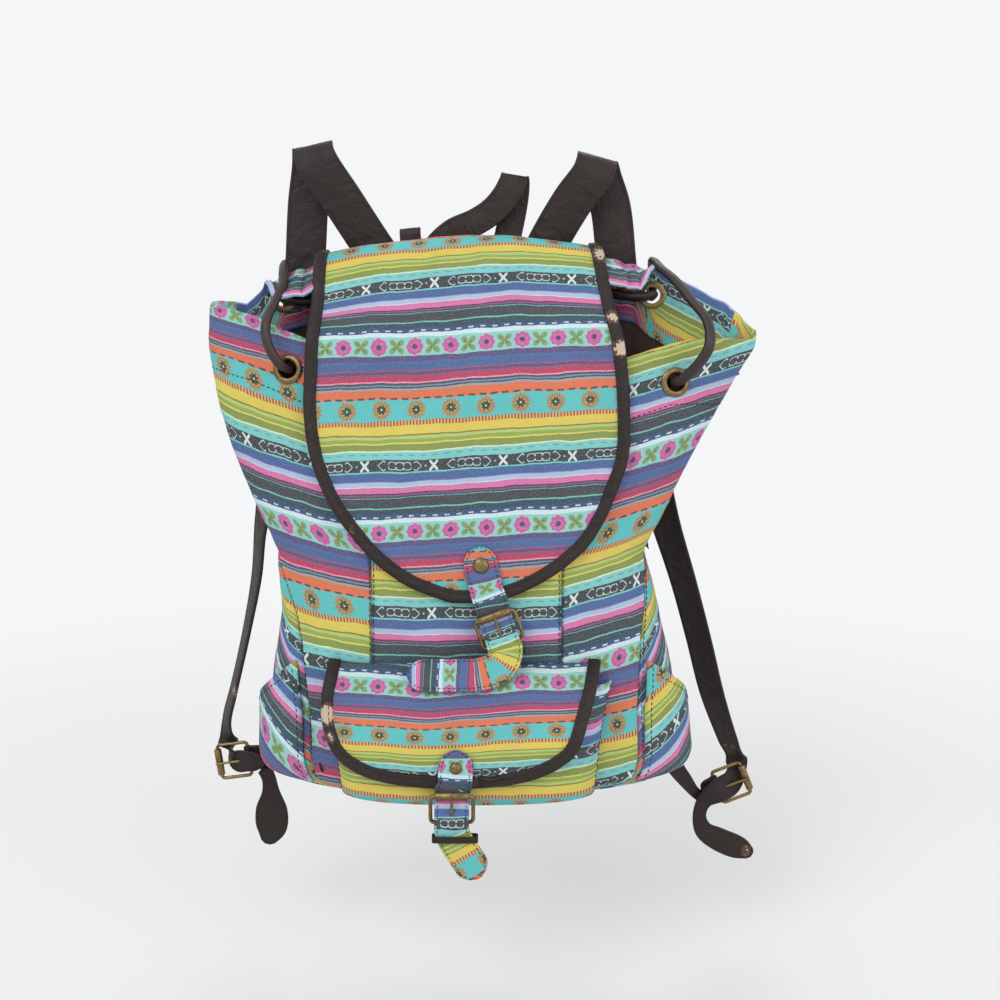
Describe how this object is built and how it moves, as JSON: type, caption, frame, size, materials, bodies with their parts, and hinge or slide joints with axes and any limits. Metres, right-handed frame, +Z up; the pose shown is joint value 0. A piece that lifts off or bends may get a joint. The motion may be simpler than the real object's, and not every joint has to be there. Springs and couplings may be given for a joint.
{
  "type": "canvas drawstring backpack",
  "caption": "Canvas drawstring backpack with a buckled flap over the mouth, a buckled front pocket, side pockets and leather-look shoulder straps.",
  "frame": {"origin": "middle of the line that the two shoulder straps hang from", "axes": "+Z up along the hanging bag, -Y out of the bag's front, +X to the right in a front view"},
  "size_m": [0.4676, 0.1843, 0.6059],
  "materials": {
    "striped_canvas": "woven cotton canvas with printed stripes",
    "brown_leather": "dark brown leather-look, satin, worn at the edges",
    "brown_lining": "plain dark brown lining cloth",
    "brown_cord": "round dark brown cord",
    "antique_brass": "dark antique brass"
  },
  "bodies": {
    "bag": {"back_panel": "striped_canvas", "base_panel": "striped_canvas", "front_panel": "striped_canvas", "front_left_panel": "striped_canvas", "front_right_panel": "striped_canvas", "left_gusset": "striped_canvas", "right_gusset": "striped_canvas", "mouth_facing": "striped_canvas", "front_pocket": "striped_canvas", "front_pocket_flap": "striped_canvas", "left_side_pocket": "striped_canvas", "right_side_pocket": "striped_canvas", "main_flap": "striped_canvas", "main_closure_strap": "striped_canvas", "pocket_closure_strap": "striped_canvas", "front_pocket_flap_binding": "brown_leather", "main_flap_binding": "brown_leather", "main_buckle_tab": "brown_leather", "pocket_strap_keeper": "brown_leather", "pocket_buckle_tab": "brown_leather", "left_shoulder_strap": "brown_leather", "left_strap_buckle_tab": "brown_leather", "right_shoulder_strap": "brown_leather", "right_strap_buckle_tab": "brown_leather", "haul_loop": "brown_leather", "small_tab": "brown_leather", "lining": "brown_lining", "drawstring": "brown_cord", "drawstring_knot": "brown_cord", "main_closure_rivet": "antique_brass", "pocket_closure_rivet": "antique_brass", "eyelet_front_left": "antique_brass", "eyelet_front_right": "antique_brass", "eyelet_back_left": "antique_brass", "eyelet_back_right": "antique_brass"},
    "main_buckle": {"main_buckle_frame": "antique_brass"},
    "main_buckle_roller": {"main_buckle_roller": "antique_brass"},
    "main_buckle_prong": {"main_buckle_prong": "antique_brass"},
    "pocket_buckle": {"pocket_buckle_frame": "antique_brass"},
    "pocket_buckle_roller": {"pocket_buckle_roller": "antique_brass"},
    "pocket_buckle_prong": {"pocket_buckle_prong": "antique_brass"},
    "left_strap_buckle": {"left_strap_buckle_frame": "antique_brass"},
    "left_strap_buckle_roller": {"left_strap_buckle_roller": "antique_brass"},
    "left_strap_buckle_prong": {"left_strap_buckle_prong": "antique_brass"},
    "right_strap_buckle": {"right_strap_buckle_frame": "antique_brass"},
    "right_strap_buckle_roller": {"right_strap_buckle_roller": "antique_brass"},
    "right_strap_buckle_prong": {"right_strap_buckle_prong": "antique_brass"}
  },
  "joints": [
    {"name": "main_buckle_hinge", "type": "hinge", "parent": "bag", "child": "main_buckle", "pos_m": [0.027, -0.11601, -0.37], "axis": [0.9397, 0, 0.342], "range_deg": [0, 10]},
    {"name": "main_buckle_roller_spin", "type": "hinge", "parent": "main_buckle", "child": "main_buckle_roller", "pos_m": [0.01949, -0.11469, -0.34936], "axis": [0.9397, 0, 0.342], "continuous": true},
    {"name": "main_buckle_prong_hinge", "type": "hinge", "parent": "main_buckle", "child": "main_buckle_prong", "pos_m": [0.027, -0.11601, -0.37], "axis": [0.9397, 0, 0.342], "range_deg": [0, 4]},
    {"name": "pocket_buckle_hinge", "type": "hinge", "parent": "bag", "child": "pocket_buckle", "pos_m": [-0.012, -0.1563, -0.497], "axis": [1, 0, 0], "range_deg": [0, 10]},
    {"name": "pocket_buckle_roller_spin", "type": "hinge", "parent": "pocket_buckle", "child": "pocket_buckle_roller", "pos_m": [-0.012, -0.15509, -0.47704], "axis": [1, 0, 0], "continuous": true},
    {"name": "pocket_buckle_prong_hinge", "type": "hinge", "parent": "pocket_buckle", "child": "pocket_buckle_prong", "pos_m": [-0.012, -0.1563, -0.497], "axis": [1, 0, 0], "range_deg": [0, 4]},
    {"name": "left_strap_buckle_hinge", "type": "hinge", "parent": "bag", "child": "left_strap_buckle", "pos_m": [-0.192, -0.012, -0.504], "axis": [-0.1302, 0, 0.9915], "range_deg": [0, 10]},
    {"name": "left_strap_buckle_roller_spin", "type": "hinge", "parent": "left_strap_buckle", "child": "left_strap_buckle_roller", "pos_m": [-0.21778, -0.012, -0.50738], "axis": [-0.1302, 0, 0.9915], "continuous": true},
    {"name": "left_strap_buckle_prong_hinge", "type": "hinge", "parent": "left_strap_buckle", "child": "left_strap_buckle_prong", "pos_m": [-0.192, -0.012, -0.504], "axis": [-0.1302, 0, 0.9915], "range_deg": [0, 4]},
    {"name": "right_strap_buckle_hinge", "type": "hinge", "parent": "bag", "child": "right_strap_buckle", "pos_m": [0.212, -0.012, -0.531], "axis": [0.38, 0, -0.925], "range_deg": [0, 10]},
    {"name": "right_strap_buckle_roller_spin", "type": "hinge", "parent": "right_strap_buckle", "child": "right_strap_buckle_roller", "pos_m": [0.23605, -0.012, -0.52112], "axis": [0.38, 0, -0.925], "continuous": true},
    {"name": "right_strap_buckle_prong_hinge", "type": "hinge", "parent": "right_strap_buckle", "child": "right_strap_buckle_prong", "pos_m": [0.212, -0.012, -0.531], "axis": [0.38, 0, -0.925], "range_deg": [0, 4]}
  ]
}
